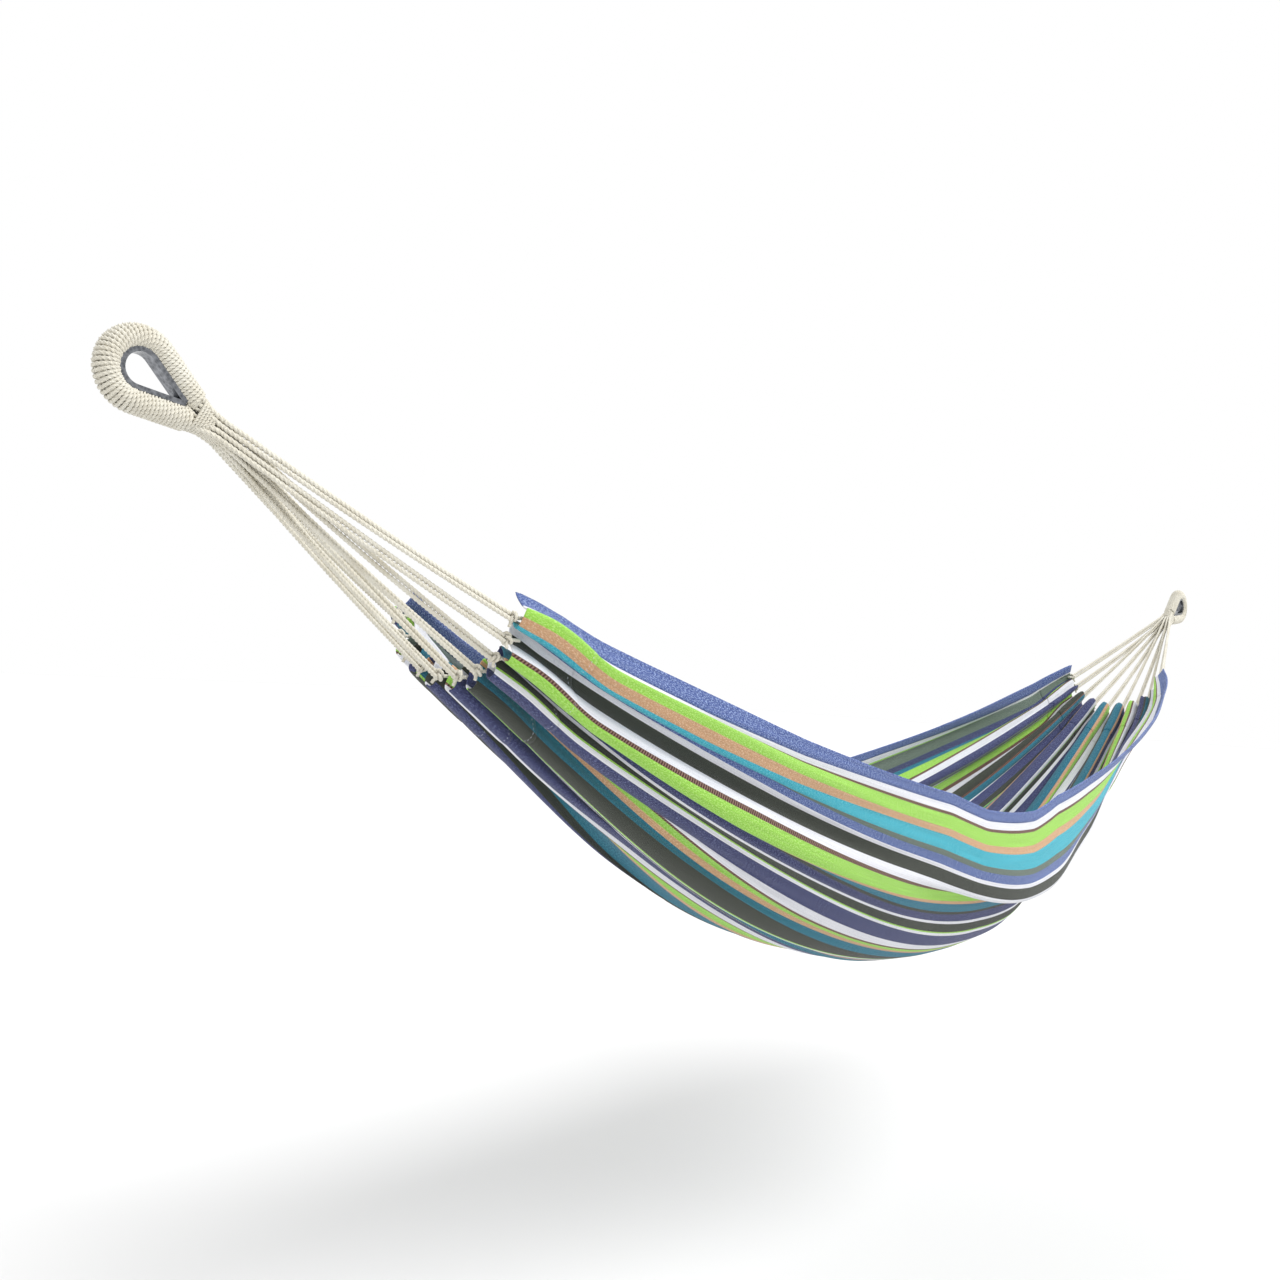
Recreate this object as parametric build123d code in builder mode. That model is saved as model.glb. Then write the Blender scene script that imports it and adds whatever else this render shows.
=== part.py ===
from build123d import *
import math
import os

os.makedirs("parts", exist_ok=True)

# A gathered cloth hammock hung from two rope eyes, in millimetres.
# The origin is the middle of the left eye's saddle. +X runs to the right eye,
# +Z is up, and the near side of the bed is at -Y.

# Driving dimensions: the hang
span = 2700.0  # from the left saddle to the right saddle
clew_slope = 27.0  # degrees that each eye points down towards the bed

# Thimbles: pressed galvanised steel teardrops
thimble_radius = 15.0  # inside the crown, where a hook sits
thimble_half_angle = 19.5  # degrees, between the axis and a leg
thimble_sheet = 1.6
thimble_width = 15.0
thimble_flange = 3.0  # height of the two lips outside the floor
thimble_reach = 50.5  # along the eye's axis, where the lips' tips are cut off

# Eyes: ten cords round the thimble, served with a thinner cord
core_radius = 8.0
serving_radius = 12.5
serving_end = 62.0  # along the eye's axis, where serving gives way to binding
binding_end = 84.0
binding_wall = 2.5
neck_end = 92.0  # along the eye's axis, where the cords start to fan out

# Clew cords: ten at each end, each with two legs and one knot
cords_per_end = 10
cord_radius = 2.5
cord_pitch = 5.2  # between the legs where they are packed in the neck
row_pitch = 6.4  # upright, between rows that run down from the neck at a slope
leg_pitch_at_knot = 5.2
knot_radius = 7.0
knot_first_angle = 86.0  # degrees from the bottom of the hem to its end knots
swing_gap = 0.3  # between the neck and the legs, which turn past each other

# Bed: one woven cloth gathered into a trough
cloth_thickness = 3.0  # the cloth with its shallow pleats
hem_x = 388.0  # where the end hems start
end_hem_length = 85.0
end_hem_thickness = 24.0  # the gathered folds, outside to inside
side_hem_width = 14.0
side_hem_thickness = 5.0
seam_gap = 0.2  # between the cloth and its side hems
hem_half_width, mid_half_width = 100.0, 254.0
hem_rim_z, mid_rim_z = -174.0, -416.0
hem_keel_z, mid_keel_z = -261.0, -685.0
cloth_panels = 7
bays_per_panel = 2

# Worked out from the driving dimensions
slope = math.radians(clew_slope)
half_angle = math.radians(thimble_half_angle)
cloth_start = hem_x + end_hem_length
centre_plane = Plane(origin=(span / 2, 0, 0), z_dir=(1, 0, 0))
eye_plane = Plane(
    origin=(0, 0, 0),
    x_dir=(math.cos(slope), 0, -math.sin(slope)),
    z_dir=(0, -1, 0),
)
neck_x = neck_end * math.cos(slope)
neck_z = -neck_end * math.sin(slope)
path_radius = thimble_radius + thimble_sheet + serving_radius + 0.05


def opening_share(x, rise, fullness):
    """How far the bed has opened at x, from 0 at the end hems to 1 at mid-span."""
    from_middle = abs(2 * (x - hem_x) / (span - 2 * hem_x) - 1)
    return max(0.0, 1 - from_middle**rise) ** fullness


def half_width(x):
    return hem_half_width + (mid_half_width - hem_half_width) * opening_share(x, 1.31, 0.84)


def rim_height(x):
    return hem_rim_z + (mid_rim_z - hem_rim_z) * opening_share(x, 1.40, 0.98)


def keel_height(x):
    return hem_keel_z + (mid_keel_z - hem_keel_z) * opening_share(x, 1.80, 1.07)


def trough_section(x, thickness, top_drop, leg):
    """A U-shaped face across the bed at x: half an ellipse under straight legs."""
    top = rim_height(x) - top_drop - leg
    depth = top - keel_height(x)
    width = half_width(x)
    half = thickness / 2
    across = Plane(origin=(x, 0, top), x_dir=(0, 1, 0), z_dir=(1, 0, 0))
    with BuildSketch(across) as section:
        with BuildLine():
            EllipticalCenterArc((0, 0), width + half, depth + half, 180, arc_size=180)
            EllipticalCenterArc((0, 0), width - half, depth - half, 180, arc_size=180)
            if leg > 0:
                for side in (-1, 1):
                    Polyline(
                        (side * (width - half), 0),
                        (side * (width - half), leg),
                        (side * (width + half), leg),
                        (side * (width + half), 0),
                    )
            else:
                for side in (-1, 1):
                    Line((side * (width - half), 0), (side * (width + half), 0))
        make_face()
    return section.sketch


def stations(first, last, count):
    return [first + (last - first) * i / (count - 1) for i in range(count)]


def save(part, name):
    part.label = name
    export_step(part, f"parts/{name}.step")


def teardrop(radius):
    """The closed outline of a teardrop round a crown of this radius."""
    tangent = (radius * math.sin(half_angle), radius * math.cos(half_angle))
    apex = (radius / math.sin(half_angle), 0)
    with BuildSketch(eye_plane) as outline:
        with BuildLine():
            CenterArc((0, 0), radius, 90 - thimble_half_angle, 180 + 2 * thimble_half_angle)
            Polyline(tangent, apex, (tangent[0], -tangent[1]))
        make_face()
    return outline.sketch


def eye_rope(radius, reach):
    """A round rope of this radius round the thimble, with legs out to this reach."""
    tangent_x = path_radius * math.sin(half_angle)
    tangent_y = path_radius * math.cos(half_angle)
    leg_length = (reach - tangent_x) / math.cos(half_angle)
    with BuildPart() as rope:
        with BuildLine(eye_plane) as crown:
            CenterArc((0, 0), path_radius, 90 - thimble_half_angle, 180 + 2 * thimble_half_angle)
        with BuildSketch(Plane(origin=crown.line @ 0, z_dir=crown.line % 0)):
            Circle(radius)
        sweep(path=crown.line)
        for side in (-1, 1):
            start = eye_plane.from_local_coords((tangent_x, side * tangent_y, 0))
            ahead = Vector(math.cos(half_angle), -side * math.sin(half_angle), 0)
            heading = eye_plane.from_local_coords(ahead) - eye_plane.origin
            with BuildSketch(Plane(origin=start, z_dir=heading)):
                Circle(radius)
            extrude(amount=leg_length)
    return rope.part


# Thimble
with BuildPart() as thimble:
    extrude(teardrop(thimble_radius + thimble_sheet), amount=thimble_width / 2, both=True)
    lip_outline = teardrop(thimble_radius + thimble_sheet + thimble_flange)
    for side in (-1, 1):
        lip_place = Location((0, side * (thimble_width - thimble_sheet) / 2, 0))
        extrude(lip_outline.moved(lip_place), amount=thimble_sheet / 2, both=True)
    extrude(
        teardrop(thimble_radius), amount=thimble_width, both=True, mode=Mode.SUBTRACT
    )
    split(
        bisect_by=Plane(
            origin=eye_plane.from_local_coords((thimble_reach, 0, 0)), z_dir=eye_plane.x_dir
        ),
        keep=Keep.BOTTOM,
    )

# Core: the middles of the clew's ten cords, side by side round the thimble, and
# spread into four rows of five at the neck
with BuildPart() as core:
    add(eye_rope(core_radius, neck_end))
    for reach, high, wide in (
        (binding_end, core_radius, core_radius),
        (neck_end + 2 * core_radius, 2 * cord_pitch, 2.5 * cord_pitch),
    ):
        across = Plane(
            origin=eye_plane.from_local_coords((reach, 0, 0)),
            x_dir=eye_plane.y_dir,
            z_dir=eye_plane.x_dir,
        )
        with BuildSketch(across):
            Ellipse(high, wide)
    loft()
    split(bisect_by=Plane(origin=(neck_x, 0, 0), z_dir=(1, 0, 0)), keep=Keep.BOTTOM)

# Serving: the cord wound over the core, pressed into the thimble's channel
with BuildPart() as serving:
    add(eye_rope(serving_radius, serving_end + serving_radius))
    split(
        bisect_by=Plane(
            origin=eye_plane.from_local_coords((serving_end, 0, 0)), z_dir=eye_plane.x_dir
        ),
        keep=Keep.BOTTOM,
    )
    add(core.part, mode=Mode.SUBTRACT)
    add(thimble.part, mode=Mode.SUBTRACT)

# Binding: the turns that close the throat
with BuildPart() as binding:
    for reach in (serving_end, binding_end):
        leg_offset = path_radius / math.cos(half_angle) - reach * math.tan(half_angle)
        across = Plane(
            origin=eye_plane.from_local_coords((reach, 0, 0)),
            x_dir=eye_plane.y_dir,
            z_dir=eye_plane.x_dir,
        )
        with BuildSketch(across):
            SlotCenterToCenter(2 * leg_offset, 2 * (core_radius + binding_wall))
    loft()
    add(core.part, mode=Mode.SUBTRACT)

for name, piece in (
    ("thimble", thimble),
    ("eye_core", core),
    ("eye_serving", serving),
    ("throat_binding", binding),
):
    save(piece.part, f"left_{name}")
    with BuildPart() as mirrored:
        mirror(piece.part, about=centre_plane)
    save(mirrored.part, f"right_{name}")


# Clew cords
def knot_place(index):
    """The middle of a knot, on the outer end of the hem."""
    step = 2 * knot_first_angle / (cords_per_end - 1)
    angle = math.radians(-knot_first_angle + step * index)
    top = hem_rim_z - side_hem_width
    return Vector(
        hem_x - knot_radius - 0.05,
        hem_half_width * math.sin(angle),
        top - (top - hem_keel_z) * math.cos(angle),
    )


def neck_place(index, leg):
    """Where a leg leaves the neck: five columns of four, two cords to a column."""
    column = index // 2 - 2
    upper = 1 if index in (0, 2, 4, 7, 9) else -1
    row = upper + leg / 2
    return Vector(neck_x, column * cord_pitch, neck_z + row * row_pitch)


for index in range(cords_per_end):
    knot = knot_place(index)
    with BuildPart() as cord:
        for leg in (-1, 1):
            start = neck_place(index, leg)
            end = knot + Vector(0, leg * leg_pitch_at_knot / 2, 0)
            run = end - start
            with BuildSketch(Plane(origin=start - run.normalized() * 3, z_dir=run)):
                Circle(cord_radius)
            extrude(amount=run.length + 3)
        split(
            bisect_by=Plane(origin=(neck_x + swing_gap, 0, 0), z_dir=(1, 0, 0)),
            keep=Keep.TOP,
        )
        with Locations(knot):
            Sphere(knot_radius)
    save(cord.part, f"left_cord_{index + 1:02d}")
    with BuildPart() as mirrored:
        mirror(cord.part, about=centre_plane)
    save(mirrored.part, f"right_cord_{index + 1:02d}")

# Bed cloth: one piece of cloth, as panels that meet face to face, so that each
# panel's collision keeps to its own short stretch of the trough
cloth_stations = stations(cloth_start, span - cloth_start, cloth_panels * bays_per_panel + 1)
panels = []
for first in range(0, cloth_panels * bays_per_panel, bays_per_panel):
    with BuildPart() as panel:
        for x in cloth_stations[first : first + bays_per_panel + 1]:
            add(trough_section(x, cloth_thickness, side_hem_width + seam_gap, 0))
        loft()
    panels.append(panel.part.solid())
save(Compound(children=panels), "bed_cloth")

# End hems: the cloth folded back round the cords and sewn down
with BuildPart() as end_hem:
    for x in (hem_x, cloth_start):
        add(trough_section(x, end_hem_thickness, 0, side_hem_width))
    loft(ruled=True)
save(end_hem.part, "left_end_hem")
with BuildPart() as right_end_hem:
    mirror(end_hem.part, about=centre_plane)
save(right_end_hem.part, "right_end_hem")

# Side hems: the folded selvedges along the two rims, in the same bays as the cloth
for name, side in (("near_side_hem", -1), ("far_side_hem", 1)):
    with BuildPart() as side_hem:
        for first in range(0, cloth_panels * bays_per_panel, bays_per_panel):
            with BuildPart(mode=Mode.PRIVATE) as bay:
                for x in cloth_stations[first : first + bays_per_panel + 1]:
                    middle = (x, side * half_width(x), rim_height(x) - side_hem_width / 2)
                    with BuildSketch(Plane(origin=middle, x_dir=(0, 1, 0), z_dir=(1, 0, 0))):
                        Rectangle(side_hem_thickness, side_hem_width)
                loft()
            add(bay.part)
    save(side_hem.part, name)
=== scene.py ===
import math
import random

import bpy
import numpy as np
from mathutils import Matrix, Vector


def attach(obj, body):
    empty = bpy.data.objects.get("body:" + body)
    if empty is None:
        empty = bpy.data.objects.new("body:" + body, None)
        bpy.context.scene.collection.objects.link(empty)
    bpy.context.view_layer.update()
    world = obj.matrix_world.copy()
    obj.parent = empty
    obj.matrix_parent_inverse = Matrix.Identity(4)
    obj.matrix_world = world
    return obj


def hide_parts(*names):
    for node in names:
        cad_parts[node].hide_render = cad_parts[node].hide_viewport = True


# A striped cloth hammock hung from two roped eyes. Metres, in the CAD frame: the
# origin is the left eye's saddle, +X runs to the right eye and the near rim is at -Y.

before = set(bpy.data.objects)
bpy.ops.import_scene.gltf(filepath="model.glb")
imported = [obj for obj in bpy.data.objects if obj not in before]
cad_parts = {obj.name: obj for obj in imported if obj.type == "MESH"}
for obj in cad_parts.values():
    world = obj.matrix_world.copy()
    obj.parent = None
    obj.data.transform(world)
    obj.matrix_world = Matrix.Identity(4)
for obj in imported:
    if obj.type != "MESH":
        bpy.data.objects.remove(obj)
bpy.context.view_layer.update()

# ---------------------------------------------------------------- dimensions
SPAN = 2.7  # saddle to saddle
SLOPE = math.radians(27)  # each eye points down towards the bed
NECK = 0.092  # along the eye's axis, where the cords start to fan out
NECK_X, NECK_Z = NECK * math.cos(SLOPE), -NECK * math.sin(SLOPE)

HEM_X = 0.388  # the end hem's outer edge
HEM_DEPTH = 0.085
HEM_HALF_WIDTH, MID_HALF_WIDTH = 0.100, 0.254
HEM_RIM, MID_RIM = -0.174, -0.416
HEM_KEEL, MID_KEEL = -0.261, -0.685
RIM_LEG = 0.014  # the section's straight top under each rim
ROUNDING = 0.05  # of the bed's turn at mid-span, as a share of its half length

CORDS = 10
CORD_RADIUS = 0.0028
CORD_PITCH = 0.0052
ROW_PITCH = 0.0064
KNOT_RADIUS = 0.007
KNOT_ANGLE = 86.0  # degrees from the bottom of the hem to its end knots
LAY = 0.016  # one turn of the cord's three strands

THIMBLE_RADIUS = 0.015
THIMBLE_WALL = 0.0016
HALF_ANGLE = math.radians(19.5)
CORE_RADIUS = 0.008
SERVING_RADIUS = 0.0125
SERVING_CORD = 0.0022  # the radius of the cord that is wound round the eye
ROPE_PATH_RADIUS = THIMBLE_RADIUS + THIMBLE_WALL + SERVING_RADIUS + 0.00005  # just clear
SERVING_END = 0.062
BINDING_END = 0.084
BINDING_CORD = 0.0017  # the radius of the cord round the throat
EYE_ROPE_RADIUS = 0.0102  # the rope under the serving
SERVING_PITCH = 0.0037
BINDING_TURNS = 6.2
KNOT_CORD = 0.0022  # the radius of a knot's cord, pulled tight

CLOTH_THICK = 0.0008
SHEET_TUCK = 0.004  # how far the sheet stops short of its sides, and runs in under the end hems
SIDE_HEM_WIDTH = 0.017
FLOOR_HEIGHT = -1.1


# ---------------------------------------------------------------- small helpers
def smooth(a, b, x):
    """0 below a, 1 above b, and an even curve between."""
    t = np.clip((np.asarray(x, float) - a) / (b - a), 0, 1)
    return t * t * (3 - 2 * t)


def new_mesh(name, points, faces, smooth_faces=True):
    mesh = bpy.data.meshes.new(name)
    mesh.from_pydata([tuple(p) for p in points], [], faces)
    mesh.update()
    if smooth_faces:
        mesh.polygons.foreach_set("use_smooth", [True] * len(mesh.polygons))
    piece = bpy.data.objects.new(name, mesh)
    bpy.context.scene.collection.objects.link(piece)
    return piece


def finish_piece(piece, body, slot, *nodes):
    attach(piece, body)
    if nodes:
        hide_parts(*nodes)
    return piece


# ---------------------------------------------------------------- materials
def blank_material(name):
    material = bpy.data.materials.new(name)
    material.use_nodes = True
    tree = material.node_tree
    return material, tree, tree.nodes["Principled BSDF"]


def node(tree, kind, **settings):
    made = tree.nodes.new(kind)
    for key, value in settings.items():
        if key in made.inputs:
            made.inputs[key].default_value = value
        else:
            setattr(made, key, value)
    return made


def ramp(tree, source, low, high, dark, light):
    made = tree.nodes.new("ShaderNodeValToRGB")
    made.color_ramp.elements[0].position = low
    made.color_ramp.elements[0].color = dark
    made.color_ramp.elements[1].position = high
    made.color_ramp.elements[1].color = light
    tree.links.new(source, made.inputs["Fac"])
    return made.outputs["Color"]


def cotton_material():
    material, tree, shader = blank_material("cotton_cord")
    place = node(tree, "ShaderNodeTexCoord")
    fibres = node(tree, "ShaderNodeTexNoise", Scale=1400.0, Detail=3.0, Roughness=0.6)
    tree.links.new(place.outputs["Object"], fibres.inputs["Vector"])
    soil = node(tree, "ShaderNodeTexNoise", Scale=35.0, Detail=2.0)
    tree.links.new(place.outputs["Object"], soil.inputs["Vector"])
    fine = ramp(
        tree, fibres.outputs["Fac"], 0.3, 0.7, (0.62, 0.59, 0.50, 1), (0.84, 0.82, 0.74, 1)
    )
    broad = ramp(
        tree, soil.outputs["Fac"], 0.3, 0.7, (0.90, 0.88, 0.84, 1), (1.0, 1.0, 1.0, 1)
    )
    both = node(tree, "ShaderNodeMix", data_type="RGBA", blend_type="MULTIPLY")
    both.inputs["Factor"].default_value = 1.0
    tree.links.new(fine, both.inputs["A"])
    tree.links.new(broad, both.inputs["B"])
    tree.links.new(both.outputs["Result"], shader.inputs["Base Color"])
    shader.inputs["Roughness"].default_value = 0.9
    shader.inputs["Sheen Weight"].default_value = 0.25
    bump = node(tree, "ShaderNodeBump", Strength=0.5, Distance=0.0004)
    tree.links.new(fibres.outputs["Fac"], bump.inputs["Height"])
    tree.links.new(bump.outputs["Normal"], shader.inputs["Normal"])
    return material


def steel_material():
    material, tree, shader = blank_material("galvanised_steel")
    place = node(tree, "ShaderNodeTexCoord")
    spangle = node(tree, "ShaderNodeTexVoronoi", Scale=260.0)
    smear = node(tree, "ShaderNodeTexNoise", Scale=120.0, Detail=4.0)
    for texture in (spangle, smear):
        tree.links.new(place.outputs["Object"], texture.inputs["Vector"])
    colour = ramp(
        tree, spangle.outputs["Distance"], 0.1, 0.9, (0.10, 0.105, 0.115, 1), (0.26, 0.27, 0.29, 1)
    )
    tree.links.new(colour, shader.inputs["Base Color"])
    shader.inputs["Metallic"].default_value = 1.0
    rough = node(tree, "ShaderNodeMapRange")
    rough.inputs["To Min"].default_value = 0.14
    rough.inputs["To Max"].default_value = 0.34
    tree.links.new(smear.outputs["Fac"], rough.inputs["Value"])
    tree.links.new(rough.outputs["Result"], shader.inputs["Roughness"])
    bump = node(tree, "ShaderNodeBump", Strength=0.12, Distance=0.0002)
    tree.links.new(smear.outputs["Fac"], bump.inputs["Height"])
    tree.links.new(bump.outputs["Normal"], shader.inputs["Normal"])
    return material


def thread_material(name, dark, light):
    material, tree, shader = blank_material(name)
    place = node(tree, "ShaderNodeTexCoord")
    twist = node(tree, "ShaderNodeTexNoise", Scale=2500.0, Detail=2.0)
    tree.links.new(place.outputs["Object"], twist.inputs["Vector"])
    colour = ramp(tree, twist.outputs["Fac"], 0.3, 0.7, dark, light)
    tree.links.new(colour, shader.inputs["Base Color"])
    shader.inputs["Roughness"].default_value = 0.6
    return material


def cloth_material():
    """Warp-striped cotton. The UV map is the flat cloth in metres: U across, V along."""
    material, tree, shader = blank_material("striped_cloth")
    link = tree.links.new
    flat = node(tree, "ShaderNodeUVMap", uv_map="flat_metres")

    def stretched(across, along):
        made = node(tree, "ShaderNodeVectorMath", operation="MULTIPLY")
        made.inputs[1].default_value = (across, along, 1.0)
        link(flat.outputs["UV"], made.inputs[0])
        return made.outputs["Vector"]

    yarn = node(tree, "ShaderNodeAttribute", attribute_name="yarn")
    fleck = node(tree, "ShaderNodeAttribute", attribute_name="fleck")
    pattern = node(tree, "ShaderNodeAttribute", attribute_name="pattern")

    heather = node(tree, "ShaderNodeTexNoise", Scale=1.0, Detail=3.0, Roughness=0.7)
    link(stretched(1100.0, 330.0), heather.inputs["Vector"])
    slub = node(tree, "ShaderNodeTexNoise", Scale=1.0, Detail=2.0, Roughness=0.6)
    link(stretched(420.0, 9.0), slub.inputs["Vector"])

    # How much of the second yarn shows: flecks, or the steps of a ladder stripe.
    edge = node(tree, "ShaderNodeMath", operation="MULTIPLY_ADD")
    edge.inputs[1].default_value = -0.34
    edge.inputs[2].default_value = 0.70
    link(fleck.outputs["Alpha"], edge.inputs[0])
    over = node(tree, "ShaderNodeMath", operation="SUBTRACT")
    link(heather.outputs["Fac"], over.inputs[0])
    link(edge.outputs["Value"], over.inputs[1])
    spots = node(tree, "ShaderNodeMapRange")
    spots.inputs["From Min"].default_value = -0.04
    spots.inputs["From Max"].default_value = 0.05
    link(over.outputs["Value"], spots.inputs["Value"])
    steps = node(tree, "ShaderNodeTexWave", wave_type="BANDS", bands_direction="DIAGONAL")
    steps.inputs["Scale"].default_value = 1.0
    steps.inputs["Distortion"].default_value = 1.5
    link(stretched(90.0, 170.0), steps.inputs["Vector"])
    step_mask = node(tree, "ShaderNodeMapRange")
    step_mask.inputs["From Min"].default_value = 0.50
    step_mask.inputs["From Max"].default_value = 0.72
    link(steps.outputs["Fac"], step_mask.inputs["Value"])
    twill = node(tree, "ShaderNodeTexWave", wave_type="BANDS", bands_direction="DIAGONAL")
    twill.inputs["Scale"].default_value = 1.0
    twill.inputs["Distortion"].default_value = 2.5
    link(stretched(300.0, 360.0), twill.inputs["Vector"])
    is_twill = node(tree, "ShaderNodeMath", operation="GREATER_THAN")
    is_twill.inputs[1].default_value = 1.5
    link(pattern.outputs["Fac"], is_twill.inputs[0])
    lines = node(tree, "ShaderNodeMix", data_type="FLOAT")
    link(is_twill.outputs["Value"], lines.inputs["Factor"])
    link(step_mask.outputs["Result"], lines.inputs["A"])
    link(twill.outputs["Fac"], lines.inputs["B"])
    share = node(tree, "ShaderNodeMix", data_type="FLOAT")
    link(pattern.outputs["Fac"], share.inputs["Factor"])
    link(spots.outputs["Result"], share.inputs["A"])
    link(lines.outputs["Result"], share.inputs["B"])
    dyed = node(tree, "ShaderNodeMix", data_type="RGBA")
    link(share.outputs["Result"], dyed.inputs["Factor"])
    link(yarn.outputs["Color"], dyed.inputs["A"])
    link(fleck.outputs["Color"], dyed.inputs["B"])

    # Threads along the cloth, crossed by finer ribs. The colour is darkened in the gaps between the
    # threads, a painted shade, and the slubs vary the yarn's own tone along them.
    warp = node(tree, "ShaderNodeTexWave", wave_type="BANDS", bands_direction="X")
    warp.inputs["Distortion"].default_value = 1.0
    link(stretched(330.0, 20.0), warp.inputs["Vector"])
    weft = node(tree, "ShaderNodeTexWave", wave_type="BANDS", bands_direction="Y")
    weft.inputs["Distortion"].default_value = 1.6
    link(stretched(60.0, 280.0), weft.inputs["Vector"])
    weave = node(tree, "ShaderNodeMath", operation="MULTIPLY")
    link(warp.outputs["Fac"], weave.inputs[0])
    link(weft.outputs["Fac"], weave.inputs[1])
    shade = node(tree, "ShaderNodeMapRange")
    shade.inputs["To Min"].default_value = 0.80
    shade.inputs["To Max"].default_value = 1.06
    link(weave.outputs["Value"], shade.inputs["Value"])
    streak = node(tree, "ShaderNodeMapRange")
    streak.inputs["From Min"].default_value = 0.3
    streak.inputs["From Max"].default_value = 0.7
    streak.inputs["To Min"].default_value = 0.88
    streak.inputs["To Max"].default_value = 1.08
    link(slub.outputs["Fac"], streak.inputs["Value"])
    # Painted shade between the threads, times the slubs' tone.
    light = node(tree, "ShaderNodeMath", operation="MULTIPLY")
    link(shade.outputs["Result"], light.inputs[0])
    link(streak.outputs["Result"], light.inputs[1])
    colour = node(tree, "ShaderNodeVectorMath", operation="SCALE")
    link(dyed.outputs["Result"], colour.inputs[0])
    link(light.outputs["Value"], colour.inputs["Scale"])
    link(colour.outputs["Vector"], shader.inputs["Base Color"])

    shader.inputs["Roughness"].default_value = 0.88
    shader.inputs["Sheen Weight"].default_value = 0.15
    shader.inputs["Sheen Roughness"].default_value = 0.5
    relief = node(tree, "ShaderNodeMath", operation="ADD")
    link(weave.outputs["Value"], relief.inputs[0])
    link(heather.outputs["Fac"], relief.inputs[1])
    bump = node(tree, "ShaderNodeBump", Strength=0.45, Distance=0.0005)
    link(relief.outputs["Value"], bump.inputs["Height"])
    link(bump.outputs["Normal"], shader.inputs["Normal"])
    return material


cotton = cotton_material()
steel = steel_material()
rim_thread = thread_material("dark_thread", (0.03, 0.04, 0.11, 1), (0.07, 0.09, 0.20, 1))
hem_thread = thread_material("pale_thread", (0.45, 0.48, 0.58, 1), (0.72, 0.75, 0.84, 1))
cloth_finish = cloth_material()


# ---------------------------------------------------------------- the stripes
def dye(red, green, blue):
    """A linear colour from a 0 to 255 screen one."""
    return tuple(
        c / 12.92 if c <= 0.04045 else ((c + 0.055) / 1.055) ** 2.4
        for c in (red / 255, green / 255, blue / 255)
    )


# name: yarn, second yarn, its share, and how they mix: 0 flecks, 1 steps, 2 a twill
YARNS = {
    "blue": (dye(58, 82, 150), dye(150, 170, 216), 0.50, 0),
    # A darker copy of blue for stripes low on the cloth: painted shade of the underside.
    "shaded_blue": (dye(44, 50, 98), dye(112, 120, 168), 0.42, 0),
    "white": (dye(240, 241, 247), dye(214, 215, 226), 0.30, 0),
    "brown": (dye(74, 36, 30), dye(146, 112, 96), 0.45, 1),
    "lime": (dye(150, 214, 68), dye(194, 240, 128), 0.48, 0),
    "tan": (dye(206, 158, 116), dye(234, 202, 168), 0.45, 0),
    "turquoise": (dye(22, 168, 192), dye(116, 216, 226), 0.46, 0),
    # A darker copy of turquoise for stripes low on the cloth: painted shade of the underside.
    "shaded_turquoise": (dye(14, 108, 134), dye(72, 158, 178), 0.40, 0),
    "sage": (dye(62, 80, 74), dye(130, 146, 132), 0.5, 2),
    "charcoal": (dye(28, 32, 27), dye(72, 78, 66), 0.42, 2),
}

# Millimetres of flat cloth, from the near rim to the far one. The darker blue and darker turquoise
# stripes low on the cloth are copies of blue and turquoise that paint the underside's shade.
STRIPES = [
    ("blue", 18), ("white", 13), ("brown", 5), ("lime", 23), ("tan", 12),
    ("turquoise", 25), ("sage", 10), ("blue", 16), ("white", 7), ("charcoal", 22),
    ("white", 18), ("brown", 5), ("lime", 20), ("tan", 6), ("shaded_turquoise", 20),
    ("charcoal", 6), ("shaded_blue", 16), ("white", 6), ("charcoal", 18), ("lime", 3),
    ("white", 7), ("shaded_blue", 34), ("white", 16), ("brown", 4), ("lime", 10),
    ("tan", 8), ("shaded_turquoise", 22), ("charcoal", 22), ("lime", 3), ("white", 7),
    ("shaded_blue", 16), ("tan", 6), ("shaded_turquoise", 20), ("charcoal", 8), ("white", 7),
    ("shaded_blue", 30), ("white", 16), ("brown", 4), ("lime", 18), ("tan", 8),
    ("shaded_turquoise", 22), ("charcoal", 20), ("shaded_blue", 20), ("white", 6), ("charcoal", 16),
    ("lime", 4), ("white", 10), ("shaded_blue", 24), ("tan", 8), ("shaded_turquoise", 17),
    ("lime", 3), ("charcoal", 12), ("shaded_blue", 20), ("white", 5), ("shaded_turquoise", 20),
    ("brown", 4), ("charcoal", 25), ("shaded_blue", 14), ("white", 14), ("brown", 5),
    ("lime", 18), ("white", 6), ("sage", 12), ("shaded_blue", 12), ("white", 14),
    ("brown", 5), ("lime", 20), ("shaded_turquoise", 10), ("shaded_blue", 14), ("sage", 30),
    ("lime", 4), ("white", 13), ("blue", 18),
]
FLAT_WIDTH = sum(width for _, width in STRIPES) / 1000
STRIPE_EDGES = np.cumsum([0] + [width for _, width in STRIPES]) / 1000


def columns(first, last, pitch):
    """Places across the flat cloth, no further apart than pitch, with every stripe's edge."""
    edges = [first] + [e for e in STRIPE_EDGES if first + 1e-4 < e < last - 1e-4] + [last]
    places = []
    for low, high in zip(edges, edges[1:]):
        count = max(1, math.ceil((high - low) / pitch - 0.01))
        places += [low + (high - low) * i / count for i in range(count)]
    return np.array(places + [last])


def stripe_at(across):
    found = int(np.searchsorted(STRIPE_EDGES, across, side="right")) - 1
    return STRIPES[min(max(found, 0), len(STRIPES) - 1)][0]


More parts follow.
